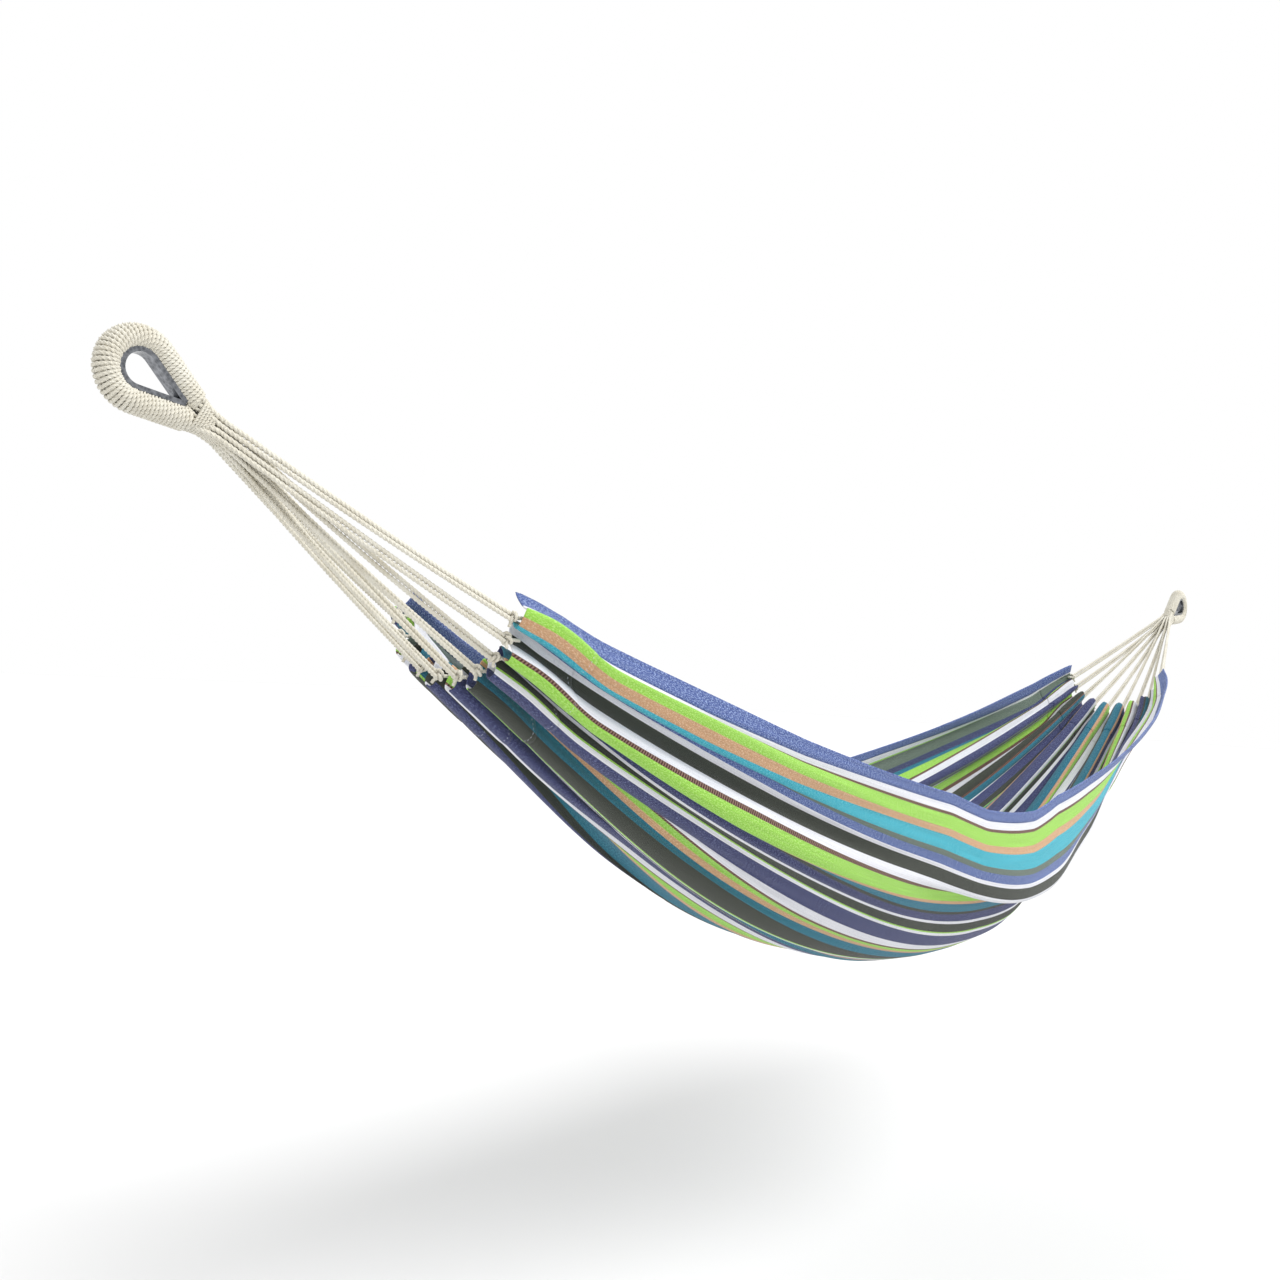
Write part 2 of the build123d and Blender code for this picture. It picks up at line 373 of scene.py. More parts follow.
def dye_mesh(piece, flat_points, face_columns):
    """Writes the UV map in flat metres, and the yarns of each face's stripe."""
    mesh = piece.data
    loops = np.zeros(len(mesh.loops), int)
    mesh.loops.foreach_get("vertex_index", loops)
    uv = mesh.uv_layers.new(name="flat_metres")
    uv.data.foreach_set("uv", flat_points[loops].astype(np.float32).ravel())
    names = [stripe_at(a) for a in face_columns]
    sizes = np.zeros(len(mesh.polygons), int)
    mesh.polygons.foreach_get("loop_total", sizes)
    yarn = np.array([[*YARNS[n][0], 1.0] for n in names])
    fleck = np.array([[*YARNS[n][1], YARNS[n][2]] for n in names])
    steps = np.array([YARNS[n][3] for n in names], float)
    for label, values in (("yarn", yarn), ("fleck", fleck)):
        layer = mesh.attributes.new(label, "FLOAT_COLOR", "CORNER")
        layer.data.foreach_set("color", np.repeat(values, sizes, axis=0).astype(np.float32).ravel())
    layer = mesh.attributes.new("pattern", "FLOAT", "CORNER")
    layer.data.foreach_set("value", np.repeat(steps, sizes).astype(np.float32))
    mesh.materials.append(cloth_finish)


# ---------------------------------------------------------------- the cloth's shape
def opening_share(x, rise, fullness):
    from_middle = 2 * (x - HEM_X) / (SPAN - 2 * HEM_X) - 1
    from_middle = (np.hypot(from_middle, ROUNDING) - ROUNDING) / (math.hypot(1, ROUNDING) - ROUNDING)
    return np.clip(1 - np.minimum(from_middle, 1) ** rise, 0, 1) ** fullness


def half_width(x):
    return HEM_HALF_WIDTH + (MID_HALF_WIDTH - HEM_HALF_WIDTH) * opening_share(x, 1.31, 0.84)


def rim_height(x):
    return HEM_RIM + (MID_RIM - HEM_RIM) * opening_share(x, 1.40, 0.98)


def keel_height(x):
    return HEM_KEEL + (MID_KEEL - HEM_KEEL) * opening_share(x, 1.80, 1.07)


def knot_angle(index):
    """Where a knot is on the hem's section, from its lowest point."""
    return math.radians(-KNOT_ANGLE + 2 * KNOT_ANGLE / (CORDS - 1) * index)


def knot_perimeter(index):
    """How far round the hem's section a knot is, from the near rim."""
    sweep = np.linspace(-math.pi / 2, knot_angle(index), 60)
    top = HEM_RIM - RIM_LEG
    y = HEM_HALF_WIDTH * np.sin(sweep)
    z = -(top - HEM_KEEL) * np.cos(sweep)
    return RIM_LEG + float(np.hypot(np.diff(y), np.diff(z)).sum())


CORNER_FINGER = 0.128  # flat cloth in the rolled finger at each corner
HEM_PERIMETER = knot_perimeter(0) + knot_perimeter(CORDS - 1)

# Each finger of gathered cloth lies between two knots, and a corner one runs past the
# first knot to the second: how far each runs into the bed, and how deep it is.
FINGER_EDGES = np.array([0.0, *np.linspace(CORNER_FINGER, FLAT_WIDTH - CORNER_FINGER, CORDS - 2),
                         FLAT_WIDTH])
FINGER_ROUND = np.array([0.0, *map(knot_perimeter, range(1, CORDS - 1)), HEM_PERIMETER])
FINGER_REACH = [0.66, 0.86, 0.58, 0.92, 0.64, 0.84, 0.60, 0.88, 0.62]
FINGER_DEPTH = [0.030, 0.031, 0.027, 0.031, 0.029, 0.031, 0.027, 0.030, 0.028]
DROOP = 0.6  # how far a fold's crest slips down the wall, as a share of its height
CORNER_SKEW = 0.7  # under 1 moves a corner finger's crest towards the selvedge
FLARE = 0.011  # of both walls, outwards, at the right end
WAIST = 0.022  # of the near wall, inwards, at the right end
SELVEDGE_RISE = 0.008
FLAT_STRETCH = 1.045  # flat cloth to each metre of X, because the bed hangs in a curve

# The near rim is creased twice at mid-span: places along it, and how much it rises.
RIM_PLACES = [0.388, 0.45, 0.60, 0.80, 1.12, 1.215, 1.36, 1.45, 1.60, 2.00, 2.15, 2.30]
RIM_RISES = [0.0, 0.003, 0.001, -0.004, 0.0, -0.010, -0.006, 0.010, 0.014, 0.012, 0.004, 0.0]


def cloth_surface(across, along):
    """Points of the hung cloth, one row for each place along the bed (metres of X)."""
    across = np.asarray(across, float)
    points = np.zeros((len(along), len(across), 3))
    finger = np.searchsorted(FINGER_EDGES, across, side="right") - 1
    finger = np.clip(finger, 0, len(FINGER_REACH) - 1)
    low, high = FINGER_EDGES[finger], FINGER_EDGES[finger + 1]
    f = (across - low) / (high - low)
    # A corner finger's crest is nearer to the selvedge than to its other foot.
    g = np.where(finger == 0, f**CORNER_SKEW, f)
    g = np.where(finger == len(FINGER_REACH) - 1, 1 - (1 - f) ** CORNER_SKEW, g)
    reach = np.array(FINGER_REACH)[finger]
    depth = np.array(FINGER_DEPTH)[finger]
    hem_share = np.interp(across, FINGER_EDGES, FINGER_ROUND) / HEM_PERIMETER
    for row, x in enumerate(along):
        near_end = min(x, SPAN - x)  # the two ends are alike
        inward = near_end - HEM_X  # from the nearer hem's edge
        mirrored = x > SPAN / 2
        # The section: straight, half an ellipse, straight.
        w, top = float(half_width(x)), float(rim_height(x)) - RIM_LEG
        deep = top - float(keel_height(x))
        sweep = np.linspace(-math.pi / 2, math.pi / 2, 241)
        y = np.concatenate([[-w], w * np.sin(sweep), [w]])
        z = np.concatenate([[top + RIM_LEG], top - deep * np.cos(sweep), [top + RIM_LEG]])
        length = np.concatenate([[0], np.cumsum(np.hypot(np.diff(y), np.diff(z)))])
        total = length[-1]
        even = float(smooth(0.0, 0.42, inward))
        share = hem_share * (1 - even) + across / FLAT_WIDTH * even
        # Fingers of cloth between the knots, round at the top and close at the foot.
        fade = 1 - smooth(0, 1, inward / reach)
        crest = depth * fade
        bulb = 0.11 * np.clip(crest / 0.02, 0, 1)
        span_share = FINGER_ROUND[finger + 1] - FINGER_ROUND[finger]
        span_share = span_share / HEM_PERIMETER * (1 - even) + (high - low) / FLAT_WIDTH * even
        share = share + span_share * bulb * np.sin(4 * math.pi * f)
        bump = 0.5 - 0.5 * np.cos(2 * math.pi * g)
        out = crest * (bump - 0.45)
        if mirrored:  # both walls flare at the right end, and the near corner finger turns in
            out = np.where(finger == 0, -0.7 * out, out)
            out = np.where(finger == 1, 0.5 * out, out)
            out = np.where(finger == len(FINGER_REACH) - 1, 0.25 * out, out)  # far corner
            from_edge = np.minimum(across, FLAT_WIDTH - across)
            flare = float(smooth(0, 0.1, inward) * smooth(0.02, 0.40, x - SPAN / 2))
            out = out + FLARE * flare * (1 - smooth(0.0, 0.109, from_edge))
            waist = smooth(0.054, 0.141, across) * (1 - smooth(0.239, 0.391, across))
            out = out - WAIST * waist * float(smooth(1.45, 1.7, x) * (1 - smooth(2.0, 2.28, x)))
        # Broader folds take over from the fingers, then long soft creases.
        turn = 2 * math.pi * across / FLAT_WIDTH
        side = 0.7 if mirrored else 0.0
        broad = float(smooth(0.10, 0.34, inward) * (1 - smooth(0.40, 0.86, inward)))
        out += 0.0085 * broad * np.sin(5.3 * turn + 0.6 + side + 0.5 * np.sin(3 * inward))
        out += 0.0045 * broad * np.sin(8.6 * turn + 2.1 - side + 1.2 * inward)
        fine = float(smooth(0.05, 0.30, inward) * (1 - 0.75 * smooth(0.35, 0.95, inward)))
        out += 0.0016 * fine * np.sin(17.4 * turn + 4.0 * inward + side)
        out += 0.0009 * fine * np.sin(29.0 * turn - 7.0 * inward + 1.3)
        share = np.clip(share, 0, 1)
        q = share * total
        py, pz = np.interp(q, length, y), np.interp(q, length, z)
        step = 0.0015
        after, before = np.clip(q + step, 0, total), np.clip(q - step, 0, total)
        ty = np.interp(after, length, y) - np.interp(before, length, y)
        tz = np.interp(after, length, z) - np.interp(before, length, z)
        size = np.hypot(ty, tz) + 1e-12
        ny, nz = tz / size, -ty / size
        # The crests slip down the wall.
        down = np.where(tz < 0, 1.0, -1.0)  # which way along the section goes down
        slip = DROOP * crest * bump * np.abs(tz / size) * smooth(0.02, 0.12, inward)
        py, pz = py + ty / size * down * slip, pz + tz / size * down * slip
        # The near wall hangs over its lower half, a little past the middle.
        past = x - SPAN / 2
        lap = float(smooth(-0.30, 0.02, past) * (1 - smooth(0.30, 0.62, past)))
        above = smooth(0.022, 0.147, across) * (1 - smooth(0.159, 0.174, across))
        below = smooth(0.159, 0.176, across) * (1 - smooth(0.207, 0.293, across))
        out = out + lap * (0.017 * above - 0.009 * below)
        pz = pz - lap * 0.010 * above + lap * 0.006 * below
        # The hem's edge is scalloped: each finger ends a little nearer the eye.
        scallop = (0.008 - 0.012 * (0.5 - 0.5 * np.cos(2 * math.pi * f))) * (
            1 - smooth(0.0, 0.05, inward)
        )
        lengthwise = np.where(mirrored, -scallop, scallop)
        rise = np.interp(x, RIM_PLACES, RIM_RISES)
        pz = pz + rise * (1 - smooth(0.033, 0.185, across))
        # The selvedge stands up at each corner.
        corner = (across < FINGER_EDGES[1]) | (across > FINGER_EDGES[-2])
        pz = pz + corner * SELVEDGE_RISE * (1 - bump) * float(1 - smooth(0.02, 0.12, inward))
        points[row, :, 0] = x + lengthwise
        points[row, :, 1] = py + ny * out
        points[row, :, 2] = pz + nz * out
    return points


def surface_normals(points):
    """Outward normals of a grid of points, rows along the bed."""
    across = np.gradient(points, axis=1)
    along = np.gradient(points, axis=0)
    n = np.cross(across, along)
    n /= np.linalg.norm(n, axis=2, keepdims=True) + 1e-12
    return n


def grid_faces(rows, cols, first=0, flip=False):
    faces = []
    for r in range(rows - 1):
        for c in range(cols - 1):
            a = first + r * cols + c
            quad = (a, a + 1, a + cols + 1, a + cols)
            faces.append(quad[::-1] if flip else quad)
    return faces


def flat_length(x):
    """How far along the flat cloth a place is, from the left hem's edge."""
    return FLAT_STRETCH * (x - HEM_X)


# ---------------------------------------------------------------- bed cloth
def along_places(first, last, count):
    """Closer together towards both ends, where the folds are tight."""
    u = np.linspace(-1, 1, count)
    eased = 0.72 * u + 0.28 * np.sin(u * math.pi / 2)
    return (first + last) / 2 + (last - first) / 2 * eased


def make_bed():
    across = columns(SHEET_TUCK, FLAT_WIDTH - SHEET_TUCK, 0.0042)
    along = along_places(
        HEM_X + HEM_DEPTH - SHEET_TUCK, SPAN - HEM_X - HEM_DEPTH + SHEET_TUCK, 168
    )
    points = cloth_surface(across, along)
    rows, cols = points.shape[:2]
    piece = new_mesh("bed_sheet", points.reshape(-1, 3), grid_faces(rows, cols))
    flat = np.stack(np.meshgrid(across, flat_length(along)), axis=-1).reshape(-1, 2)
    middles = np.tile((across[1:] + across[:-1]) / 2, rows - 1)
    dye_mesh(piece, flat, middles)
    thick = piece.modifiers.new("cloth", "SOLIDIFY")
    thick.thickness = CLOTH_THICK
    thick.offset = 0
    return finish_piece(piece, "bed", "striped_cloth", "bed_cloth")


def doubled(points, gaps, fold_rows):
    """Two layers from one grid, joined by a round fold along the first row.
    gaps is the distance between the layers at each row. Returns a grid of rows that
    goes from the last row's outer layer over the fold to the last row's inner one."""
    n = surface_normals(points)
    along = points[1] - points[0]
    along /= np.linalg.norm(along, axis=1, keepdims=True) + 1e-12
    outer = [points[r] + n[r] * gaps[r] / 2 for r in range(len(points))]
    inner = [points[r] - n[r] * gaps[r] / 2 for r in range(len(points))]
    fold = []
    for i in range(1, fold_rows):
        angle = math.pi * i / fold_rows
        fold.append(
            points[0]
            + n[0] * gaps[0] / 2 * math.cos(angle)
            - along * gaps[0] / 2 * math.sin(angle)
        )
    return np.array(outer[::-1] + fold + inner)


def make_end_hem(name, mirrored):
    across = columns(0.0, FLAT_WIDTH, 0.0034)
    rows = 22
    inward = HEM_DEPTH * np.linspace(0, 1, rows) ** 0.9
    x = SPAN - HEM_X - inward if mirrored else HEM_X + inward
    points = cloth_surface(across, x)
    if mirrored:
        points = points[:, ::-1]
        across = across[::-1]
    puff = 0.0022 + 0.0028 * np.sin(math.pi * np.clip(inward / HEM_DEPTH, 0, 1)) ** 0.8
    puff[-1] = 0.0016
    grid = doubled(points, puff, 5)
    total, cols = grid.shape[:2]
    faces = grid_faces(total, cols, flip=True)
    back = total - 1
    for c in range(cols - 1):  # the sewn end
        faces.append((c, c + 1, back * cols + c + 1, back * cols + c))
    for c in (0, cols - 1):  # the two selvedges
        for r in range(total // 2):
            a, b = r * cols + c, (r + 1) * cols + c
            d, e = (back - r) * cols + c, (back - r - 1) * cols + c
            if b == e:
                faces.append((a, b, d) if c else (d, b, a))
            else:
                faces.append((a, b, e, d) if c else (d, e, b, a))
    piece = new_mesh(name, grid.reshape(-1, 3), faces)
    lengths = np.concatenate([inward[::-1], np.zeros(4), -inward])
    flat = np.stack(np.meshgrid(across, lengths), axis=-1).reshape(-1, 2)
    face_columns = list(np.tile((across[1:] + across[:-1]) / 2, total - 1))
    face_columns += list((across[1:] + across[:-1]) / 2)
    face_columns += [0.001] * (len(faces) - len(face_columns))
    dye_mesh(piece, flat, face_columns)
    return finish_piece(piece, "bed", "striped_cloth", name)


def make_side_hem(name, far):
    along = along_places(HEM_X + 0.004, SPAN - HEM_X - 0.004, 190)
    steps = np.linspace(0, SIDE_HEM_WIDTH, 8)
    across = FLAT_WIDTH - steps if far else steps
    order = np.argsort(across)
    points = cloth_surface(across[order], along)
    n = surface_normals(points)
    points, n = points[:, np.argsort(order)], n[:, np.argsort(order)]
    gaps = 0.0026 * np.ones(len(steps))
    gaps[-1] = 0.0018
    up = points[:, 0] - points[:, 1]
    up /= np.linalg.norm(up, axis=1, keepdims=True)
    outer = [points[:, c] + n[:, c] * gaps[c] / 2 for c in range(len(steps))]
    inner = [points[:, c] - n[:, c] * gaps[c] / 2 for c in range(len(steps))]
    fold = []
    for i in range(1, 5):
        a = math.pi * i / 5
        fold.append(
            points[:, 0] + n[:, 0] * gaps[0] / 2 * math.cos(a) + up * gaps[0] / 2 * math.sin(a)
        )
    loop = outer[::-1] + fold + inner
    count, rows = len(loop), len(along)
    grid = np.stack(loop, axis=1)  # rows along, round the band
    faces = []
    for r in range(rows - 1):
        for c in range(count):
            a, b = r * count + c, r * count + (c + 1) % count
            quad = (a, b, b + count, a + count)
            faces.append(quad if far else quad[::-1])
    for r in (0, rows - 1):
        cap = list(range(r * count, (r + 1) * count))
        faces.append(cap if (r == 0) != far else cap[::-1])
    piece = new_mesh(name, grid.reshape(-1, 3), faces)
    round_band = np.concatenate([steps[::-1], [0, 0, 0, 0], -steps]) * (-1 if far else 1)
    base = FLAT_WIDTH if far else 0.0
    flat = np.stack(np.meshgrid(base + round_band, flat_length(along)), axis=-1).reshape(-1, 2)
    dye_mesh(piece, flat, [base] * len(faces))
    return finish_piece(piece, "bed", "striped_cloth", name)


def stitch_mesh(name, line, normals, pitch, length, width, thread):
    """A row of sewn stitches: short raised threads along a line of points."""
    line, normals = np.asarray(line), np.asarray(normals)
    run = run_along(line)
    points, faces = [], []
    place = pitch
    while place < run[-1] - pitch:
        ends = []
        for s in (place - length / 2, place, place + length / 2):
            p = np.array([np.interp(s, run, line[:, k]) for k in range(3)])
            m = np.array([np.interp(s, run, normals[:, k]) for k in range(3)])
            ends.append((p, m / (np.linalg.norm(m) + 1e-12)))
        ahead = ends[2][0] - ends[0][0]
        ahead /= np.linalg.norm(ahead) + 1e-12
        base = len(points)
        for (p, m), high, wide in zip(ends, (0.05, 0.5, 0.05), (0.4, 1.0, 0.4)):
            side = np.cross(m, ahead)
            points += [
                p - side * width / 2 * wide - m * 0.0002,
                p + m * width * high,
                p + side * width / 2 * wide - m * 0.0002,
            ]
        for k in (0, 3):
            for i in range(3):
                a, b = base + k + i, base + k + (i + 1) % 3
                faces.append((a, b, b + 3, a + 3))
        faces += [(base + 2, base + 1, base), (base + 6, base + 7, base + 8)]
        place += pitch
    piece = new_mesh(name, points, faces)
    piece.data.materials.append(thread)
    return finish_piece(piece, "bed", "striped_cloth")


def make_stitching():
    along = along_places(HEM_X + 0.01, SPAN - HEM_X - 0.01, 260)
    for name, far in (("near", False), ("far", True)):
        grid_across = np.array([0.0, 0.0035, 0.0135, 0.017])
        if far:
            grid_across = (FLAT_WIDTH - grid_across)[::-1]
        points = cloth_surface(grid_across, along)
        n = surface_normals(points)
        for row, column in enumerate((1, 2)):
            for face, sign in (("outside", 1), ("inside", -1)):
                line = points[:, column] + sign * n[:, column] * 0.0012
                stitch_mesh(
                    f"{name}_rim_stitch_{face}_{row + 1}",
                    line, sign * n[:, column], 0.0042, 0.0032, 0.0011, rim_thread,
                )
    across = np.linspace(0.003, FLAT_WIDTH - 0.003, 420)
    for name, mirrored in (("left", False), ("right", True)):
        inward = np.array([HEM_DEPTH - 0.010, HEM_DEPTH - 0.006, HEM_DEPTH - 0.002])
        x = SPAN - HEM_X - inward if mirrored else HEM_X + inward
        points = cloth_surface(across, x)
        n = surface_normals(points) * (-1 if mirrored else 1)
        line = points[1] + n[1] * 0.0014
        stitch_mesh(f"{name}_hem_stitch", line, n[1], 0.0055, 0.0038, 0.0012, hem_thread)


# ---------------------------------------------------------------- ropes
def run_along(line):
    """How far along a line each of its points is."""
    return np.concatenate([[0], np.cumsum(np.linalg.norm(np.diff(line, axis=0), axis=1))])


def frames_along(line):
    """Even frames along a line: the direction, and two square to it."""
    ahead = np.gradient(line, axis=0)
    ahead /= np.linalg.norm(ahead, axis=1, keepdims=True) + 1e-12
    first = np.cross(ahead[0], (0.0, 0.0, 1.0))
    if np.linalg.norm(first) < 0.1:
        first = np.cross(ahead[0], (0.0, 1.0, 0.0))
    side = np.zeros_like(line)
    side[0] = first / np.linalg.norm(first)
    for i in range(1, len(line)):
        s = side[i - 1] - ahead[i] * np.dot(side[i - 1], ahead[i])
        side[i] = s / (np.linalg.norm(s) + 1e-12)
    return ahead, side, np.cross(ahead, side)


def resample(line, pitch):
    run = run_along(line)
    count = max(4, int(round(run[-1] / pitch)) + 1)
    s = np.linspace(0, run[-1], count)
    return np.stack([np.interp(s, run, line[:, k]) for k in range(3)], axis=1), s


def rope_parts(line, radius, lay, sides=12, pitch=0.0013, start_turn=0.0):
    """Points and faces of a rope of three twisted strands along a line."""
    line, s = resample(np.asarray(line, float), pitch)
    _, side, up = frames_along(line)
    angles = np.arange(sides) * 2 * math.pi / sides
    third = 2 * math.pi / 3
    off = (angles + third / 2) % third - third / 2
    centre, strand = 0.464 * radius, 0.536 * radius
    reach = centre * np.cos(off) + np.sqrt(strand**2 - (centre * np.sin(off)) ** 2)
    points = []
    for i in range(len(line)):
        turn = angles + 2 * math.pi * s[i] / lay + start_turn
        points.append(
            line[i]
            + np.outer(reach * np.cos(turn), side[i])
            + np.outer(reach * np.sin(turn), up[i])
        )
    points = np.concatenate(points)
    faces = []
    for r in range(len(line) - 1):
        for c in range(sides):
            a, b = r * sides + c, r * sides + (c + 1) % sides
            faces.append((a, b, b + sides, a + sides))
    faces.append(tuple(range(sides))[::-1])
    last = (len(line) - 1) * sides
    faces.append(tuple(range(last, last + sides)))
    return points, faces


def rope_mesh(name, lines, radius, lay=LAY, sides=12, pitch=0.0013):
    points, faces, base = [], [], 0
    for k, line in enumerate(lines):
        p, f = rope_parts(line, radius, lay, sides, pitch, start_turn=1.7 * k)
        points.append(p)
        faces += [tuple(i + base for i in face) for face in f]
        base += len(p)
    piece = new_mesh(name, np.concatenate(points), faces)
    piece.data.materials.append(cotton)
    return piece


def nurbs_line(control, resolution=12):
    """Points of a smooth NURBS spline with these control points."""
    curve = bpy.data.curves.new("route", "CURVE")
    curve.dimensions = "3D"
    spline = curve.splines.new("NURBS")
    spline.points.add(len(control) - 1)
    for point, place in zip(spline.points, control):
        point.co = (*place, 1.0)
    spline.order_u = 3
    spline.use_endpoint_u = True
    spline.resolution_u = resolution
    holder = bpy.data.objects.new("route", curve)
    bpy.context.scene.collection.objects.link(holder)
    mesh = bpy.data.meshes.new_from_object(holder)
    line = np.array([v.co for v in mesh.vertices])
    bpy.data.objects.remove(holder)
    bpy.data.curves.remove(curve)
    bpy.data.meshes.remove(mesh)
    return line


def mirror_point(p):
    return (SPAN - p[0], p[1], p[2])


def knot_place(index):
    angle = knot_angle(index)
    top = HEM_RIM - RIM_LEG
    return np.array([
        HEM_X - KNOT_RADIUS,
        HEM_HALF_WIDTH * math.sin(angle),
        top - (top - HEM_KEEL) * math.cos(angle),
    ])


def neck_place(index, leg):
    column = index // 2 - 2
    upper = 1 if index in (0, 2, 4, 7, 9) else -1
    row = upper + leg / 2
    return np.array([NECK_X, column * CORD_PITCH, NECK_Z + row * ROW_PITCH])


def make_cords(prefix, mirrored):
    """Ten cords: each is two taut legs from the neck to a knot on the hem."""
    chance = random.Random(11 if mirrored else 7)
    for index in range(CORDS):
        knot = knot_place(index)
        name = f"{prefix}_cord_{index + 1:02d}"
        for leg in (-1, 1):
            start = neck_place(index, leg)
            end = knot + np.array([-0.003, leg * 0.0008, leg * 0.0031])
            run = end - start
            sag = 0.002 + 0.003 * chance.random()
            drift = 0.002 * (chance.random() - 0.5)
            control = [start]
            for share, drop in ((0.10, 0.25), (0.30, 0.75), (0.55, 1.0), (0.80, 0.7)):
                control.append(
                    start + run * share + np.array([0.0, drift * drop * 2, -sag * drop])
                )
            control.append(end)
            if mirrored:
                control = [mirror_point(p) for p in control]
            line = nurbs_line(control)
            piece = rope_mesh(f"{name}_leg_{'a' if leg < 0 else 'b'}", [line], CORD_RADIUS)
            finish_piece(piece, "bed", "cotton_cord", name)
        piece = make_knot(f"{name}_knot", knot, mirrored, chance)
        finish_piece(piece, "bed", "cotton_cord", name)


def make_knot(name, knot, mirrored, chance):
    """An overhand knot, and the short loop that goes through the hem."""
    major, minor = 0.0042, 0.0021
    tilt = Matrix.Rotation(chance.uniform(-0.5, 0.5), 3, "Y")
    tilt = tilt @ Matrix.Rotation(chance.uniform(0, math.tau), 3, "X")
    tilt = tilt @ Matrix.Rotation(math.pi / 2 + chance.uniform(-0.4, 0.4), 3, "Y")
    line = []
    for i in range(73):
        a = math.tau * i / 72
        r = major + minor * math.cos(3 * a)
        p = tilt @ Vector((r * math.cos(2 * a), r * math.sin(2 * a), minor * math.sin(3 * a)))
        line.append(knot + np.array(p))
    loop = []
    for i in range(13):
        a = math.pi * i / 12
        loop.append(
            knot + np.array([0.004 + 0.014 * math.sin(a), 0.0038 * math.cos(a), -0.001])
        )
    tail_way = Vector((-0.4, chance.uniform(-1, 1), -1)).normalized()
    tail = [knot + np.array(tail_way) * s for s in (0.003, 0.007, 0.012)]
    lines = [np.array(line), np.array(loop), np.array(tail)]
    if mirrored:
        lines = [np.array([mirror_point(p) for p in one]) for one in lines]
    return rope_mesh(name, lines, KNOT_CORD, lay=0.012, pitch=0.0012)


# ---------------------------------------------------------------- the eyes
def eye_point(local, mirrored):
    """From the eye's own plane: along its axis, square to it, and across its width."""
    a, b, c = local
    p = (
        a * math.cos(SLOPE) + b * math.sin(SLOPE),
        c,
        -a * math.sin(SLOPE) + b * math.cos(SLOPE),
    )
    return mirror_point(p) if mirrored else p


def leg_offset(reach):
    """How far each leg of the eye is from its axis, at a place along the axis."""
    return ROPE_PATH_RADIUS / math.cos(HALF_ANGLE) - reach * math.tan(HALF_ANGLE)


def eye_body(mirrored):
    return "right_eye" if mirrored else "left_eye"


def eye_path(reach, pitch):
    """The rope's middle line round the thimble, from one leg's end to the other's."""
    tangent = (
        ROPE_PATH_RADIUS * math.sin(HALF_ANGLE), ROPE_PATH_RADIUS * math.cos(HALF_ANGLE)
    )
    ahead = (math.cos(HALF_ANGLE), -math.sin(HALF_ANGLE))
    leg = (reach - tangent[0]) / ahead[0]
    line = [
        (tangent[0] + ahead[0] * s, tangent[1] + ahead[1] * s)
        for s in np.linspace(leg, 0, 12)
    ]
    for a in np.linspace(math.pi / 2 - HALF_ANGLE, 3 * math.pi / 2 + HALF_ANGLE, 60)[1:-1]:
        line.append((ROPE_PATH_RADIUS * math.cos(a), ROPE_PATH_RADIUS * math.sin(a)))
    line += [
        (tangent[0] + ahead[0] * s, -tangent[1] - ahead[1] * s)
        for s in np.linspace(0, leg, 12)
    ]
    line = np.array([(a, b, 0.0) for a, b in line])
    return resample(line, pitch)


def make_serving(name, mirrored):
    """One cord wound round the eye's rope, flattened where the two legs meet."""
    path, s = eye_path(SERVING_END - 0.002, 0.0002)
    ahead = np.gradient(path, axis=0)
    ahead /= np.linalg.norm(ahead, axis=1, keepdims=True)
    outward = np.stack([ahead[:, 1], -ahead[:, 0], 0 * ahead[:, 0]], axis=1)
    wind = SERVING_RADIUS - SERVING_CORD
    turn = math.tau * s / SERVING_PITCH
    line = path + outward * (wind * np.cos(turn))[:, None]
    line[:, 2] += wind * np.sin(turn)
    upper = path[:, 1] > 0
    line[:, 1] = np.where(
        upper, np.maximum(line[:, 1], 0.0012), np.minimum(line[:, 1], -0.0012)
    )
    line = np.array([eye_point(p, mirrored) for p in line])
    piece = rope_mesh(name, [line], SERVING_CORD * 1.08, lay=0.0125, pitch=0.0014)
    return finish_piece(piece, eye_body(mirrored), "cotton_cord", name)


def make_binding(name, mirrored):
    """Turns of cord round the throat, over both legs of the eye."""
    line = []
    for i in range(int(BINDING_TURNS * 72) + 1):
        a = math.tau * i / 72
        reach = SERVING_END + 0.001 + (BINDING_END - SERVING_END - 0.003) * i / (
            BINDING_TURNS * 72
        )
        legs = max(leg_offset(reach), 0.001)
        radius = CORE_RADIUS + BINDING_CORD
        b, c = radius * math.cos(a), radius * math.sin(a)
        b += legs * math.tanh(3 * math.cos(a))
        line.append(eye_point((reach, b, c), mirrored))
    lines = [np.array(line)]
    for width in (-0.0055, 0.0, 0.0055):  # the turns laid lengthways fill the crotch
        for side in (-0.0026, 0.0026):
            ends = [(0.052, side * 0.5, width), (0.060, side, width), (0.068, side * 1.5, width)]
            lines.append(np.array([eye_point(p, mirrored) for p in ends]))
    piece = rope_mesh(name, lines, BINDING_CORD * 1.1, lay=0.010, pitch=0.0014)
    return finish_piece(piece, eye_body(mirrored), "cotton_cord", name)


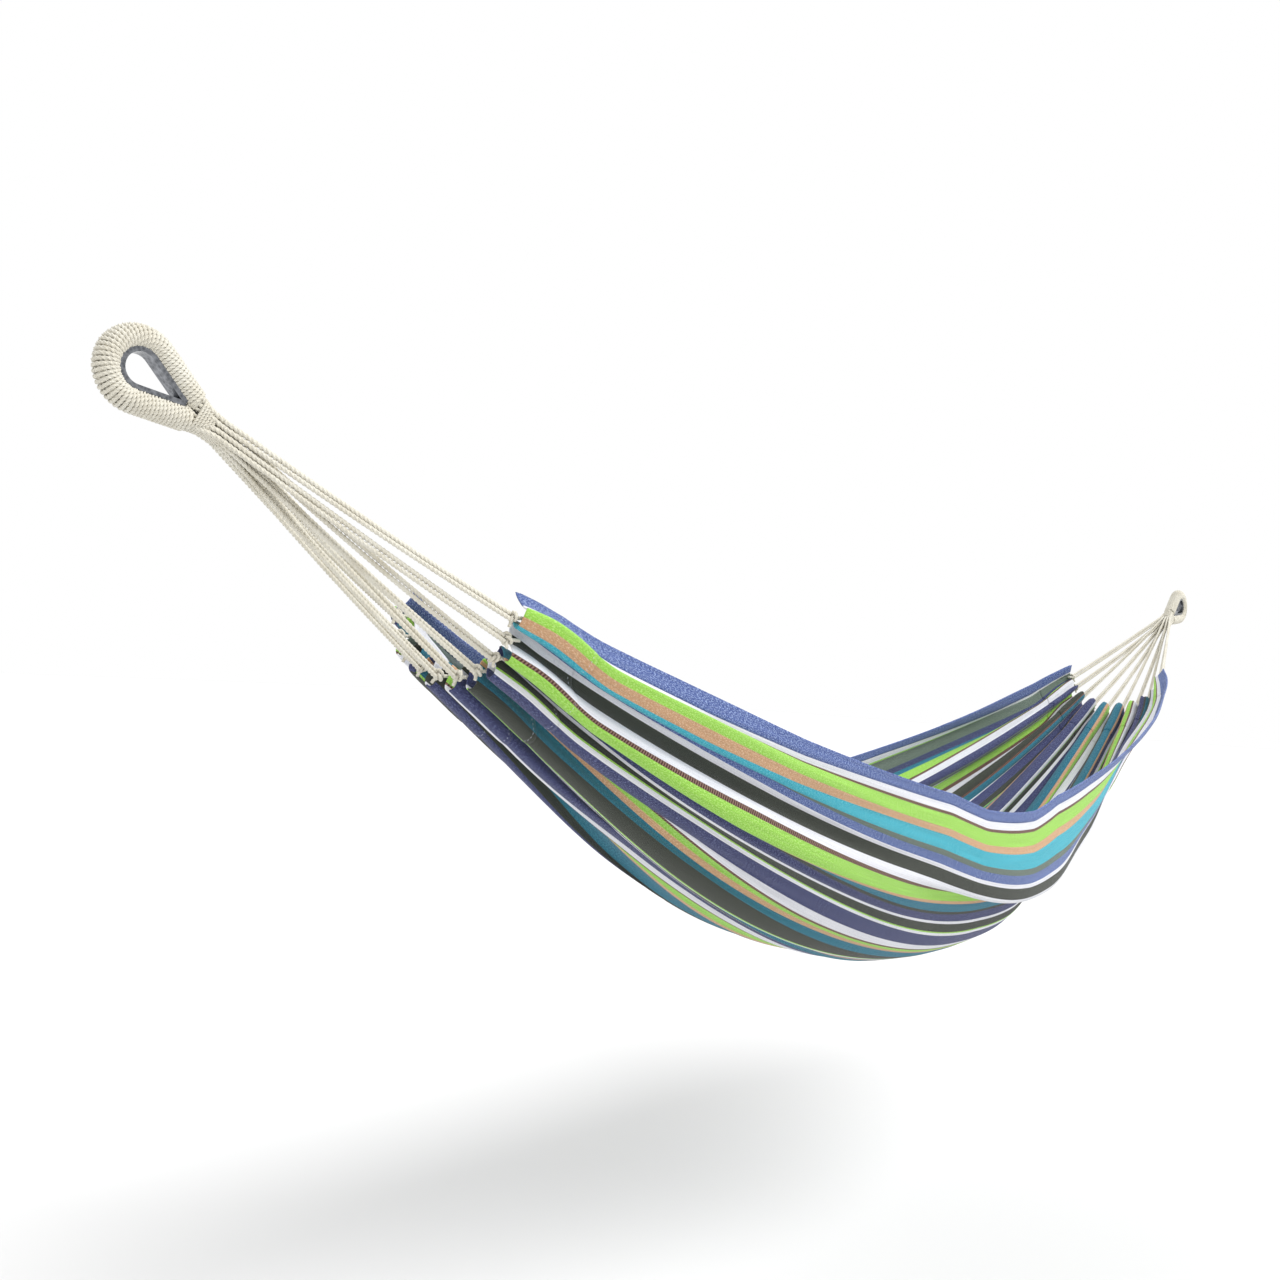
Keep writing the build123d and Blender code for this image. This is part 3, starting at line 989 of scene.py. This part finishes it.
def make_core(name, mirrored):
    """Twenty strands through the throat to the neck, and the rope under the serving."""
    lines = []
    for index in range(CORDS):
        for leg in (-1, 1):
            end = neck_place(index, leg)
            above = (end[2] - NECK_Z) / ROW_PITCH  # -1.5 to 1.5
            upper = 1 if above > 0 else -1
            reach = SERVING_END - 0.006
            legs = leg_offset(reach)
            spread = (above - upper) * 0.0052
            start = np.array(eye_point((reach, upper * legs + spread, end[1] * 0.45), False))
            way = np.array([math.cos(SLOPE), 0, -math.sin(SLOPE)])
            line = [start, start + way * 0.008, end - way * 0.010, end + way * 0.0005]
            if mirrored:
                line = [mirror_point(p) for p in line]
            lines.append(nurbs_line(line, 8))
    piece = rope_mesh(name, lines, CORD_RADIUS, pitch=0.0014)
    round_eye, _ = eye_path(SERVING_END, 0.0015)
    round_eye = np.array([eye_point(p, mirrored) for p in round_eye])
    rope = rope_mesh(f"{name}_rope", [round_eye], EYE_ROPE_RADIUS, lay=0.05, sides=24, pitch=0.002)
    body = eye_body(mirrored)
    finish_piece(rope, body, "cotton_cord", name)
    return finish_piece(piece, body, "cotton_cord", name)


# ---------------------------------------------------------------- build it
bed_sheet = make_bed()
end_hems = [make_end_hem("left_end_hem", False), make_end_hem("right_end_hem", True)]
side_hems = [make_side_hem("near_side_hem", False), make_side_hem("far_side_hem", True)]
make_stitching()
for prefix, mirrored in (("left", False), ("right", True)):
    make_cords(prefix, mirrored)
    make_serving(f"{prefix}_eye_serving", mirrored)
    make_binding(f"{prefix}_throat_binding", mirrored)
    make_core(f"{prefix}_eye_core", mirrored)
    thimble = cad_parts[f"{prefix}_thimble"]
    thimble.data.materials.clear()
    thimble.data.materials.append(steel)


# ---------------------------------------------------------------- studio
def make_camera():
    yaw, pitch, roll = math.radians(41.4632), math.radians(1.5875), math.radians(3.3505)
    ahead = Vector((
        math.cos(yaw) * math.cos(pitch), math.sin(yaw) * math.cos(pitch), math.sin(pitch)
    ))
    level = Vector((math.sin(yaw), -math.cos(yaw), 0))
    over = level.cross(ahead)
    right = level * math.cos(roll) + over * math.sin(roll)
    up = over * math.cos(roll) - level * math.sin(roll)
    data = bpy.data.cameras.new("camera")
    data.lens = 36.0
    data.sensor_width = 36.0
    camera = bpy.data.objects.new("camera", data)
    place = Matrix((right, up, -ahead)).transposed().to_4x4()
    place.translation = Vector((-0.5473, -1.1018, -0.2475))
    camera.matrix_world = place
    bpy.context.scene.collection.objects.link(camera)
    bpy.context.scene.camera = camera


def sun_light(name, towards, strength, softness):
    """Even light from the direction of a point seen from the hammock's middle."""
    data = bpy.data.lights.new(name, "SUN")
    data.energy = strength
    data.angle = math.radians(softness)
    lamp = bpy.data.objects.new(name, data)
    lamp.rotation_euler = (-Vector(towards)).to_track_quat("-Z", "Y").to_euler()
    bpy.context.scene.collection.objects.link(lamp)


def make_studio():
    make_camera()
    sun_light("key", (0.35, -0.75, 1.0), 2.1, 32)
    sun_light("rim", (0.6, 0.9, 1.3), 0.5, 40)
    world = bpy.data.worlds.new("studio")
    world.use_nodes = True
    back = world.node_tree.nodes["Background"]
    back.inputs["Color"].default_value = (1.0, 1.0, 1.0, 1)
    back.inputs["Strength"].default_value = 1.0
    bpy.context.scene.world = world
    floor = new_mesh(
        "floor", [(x, y, FLOOR_HEIGHT) for x, y in ((-30, -30), (30, -30), (30, 30), (-30, 30))],
        [(0, 1, 2, 3)], False,
    )
    material, _, shader = blank_material("pale_floor")
    shader.inputs["Base Color"].default_value = (0.70, 0.70, 0.70, 1)
    shader.inputs["Roughness"].default_value = 0.9
    floor.data.materials.append(material)
    bpy.context.scene.view_settings.view_transform = "Standard"


make_studio()
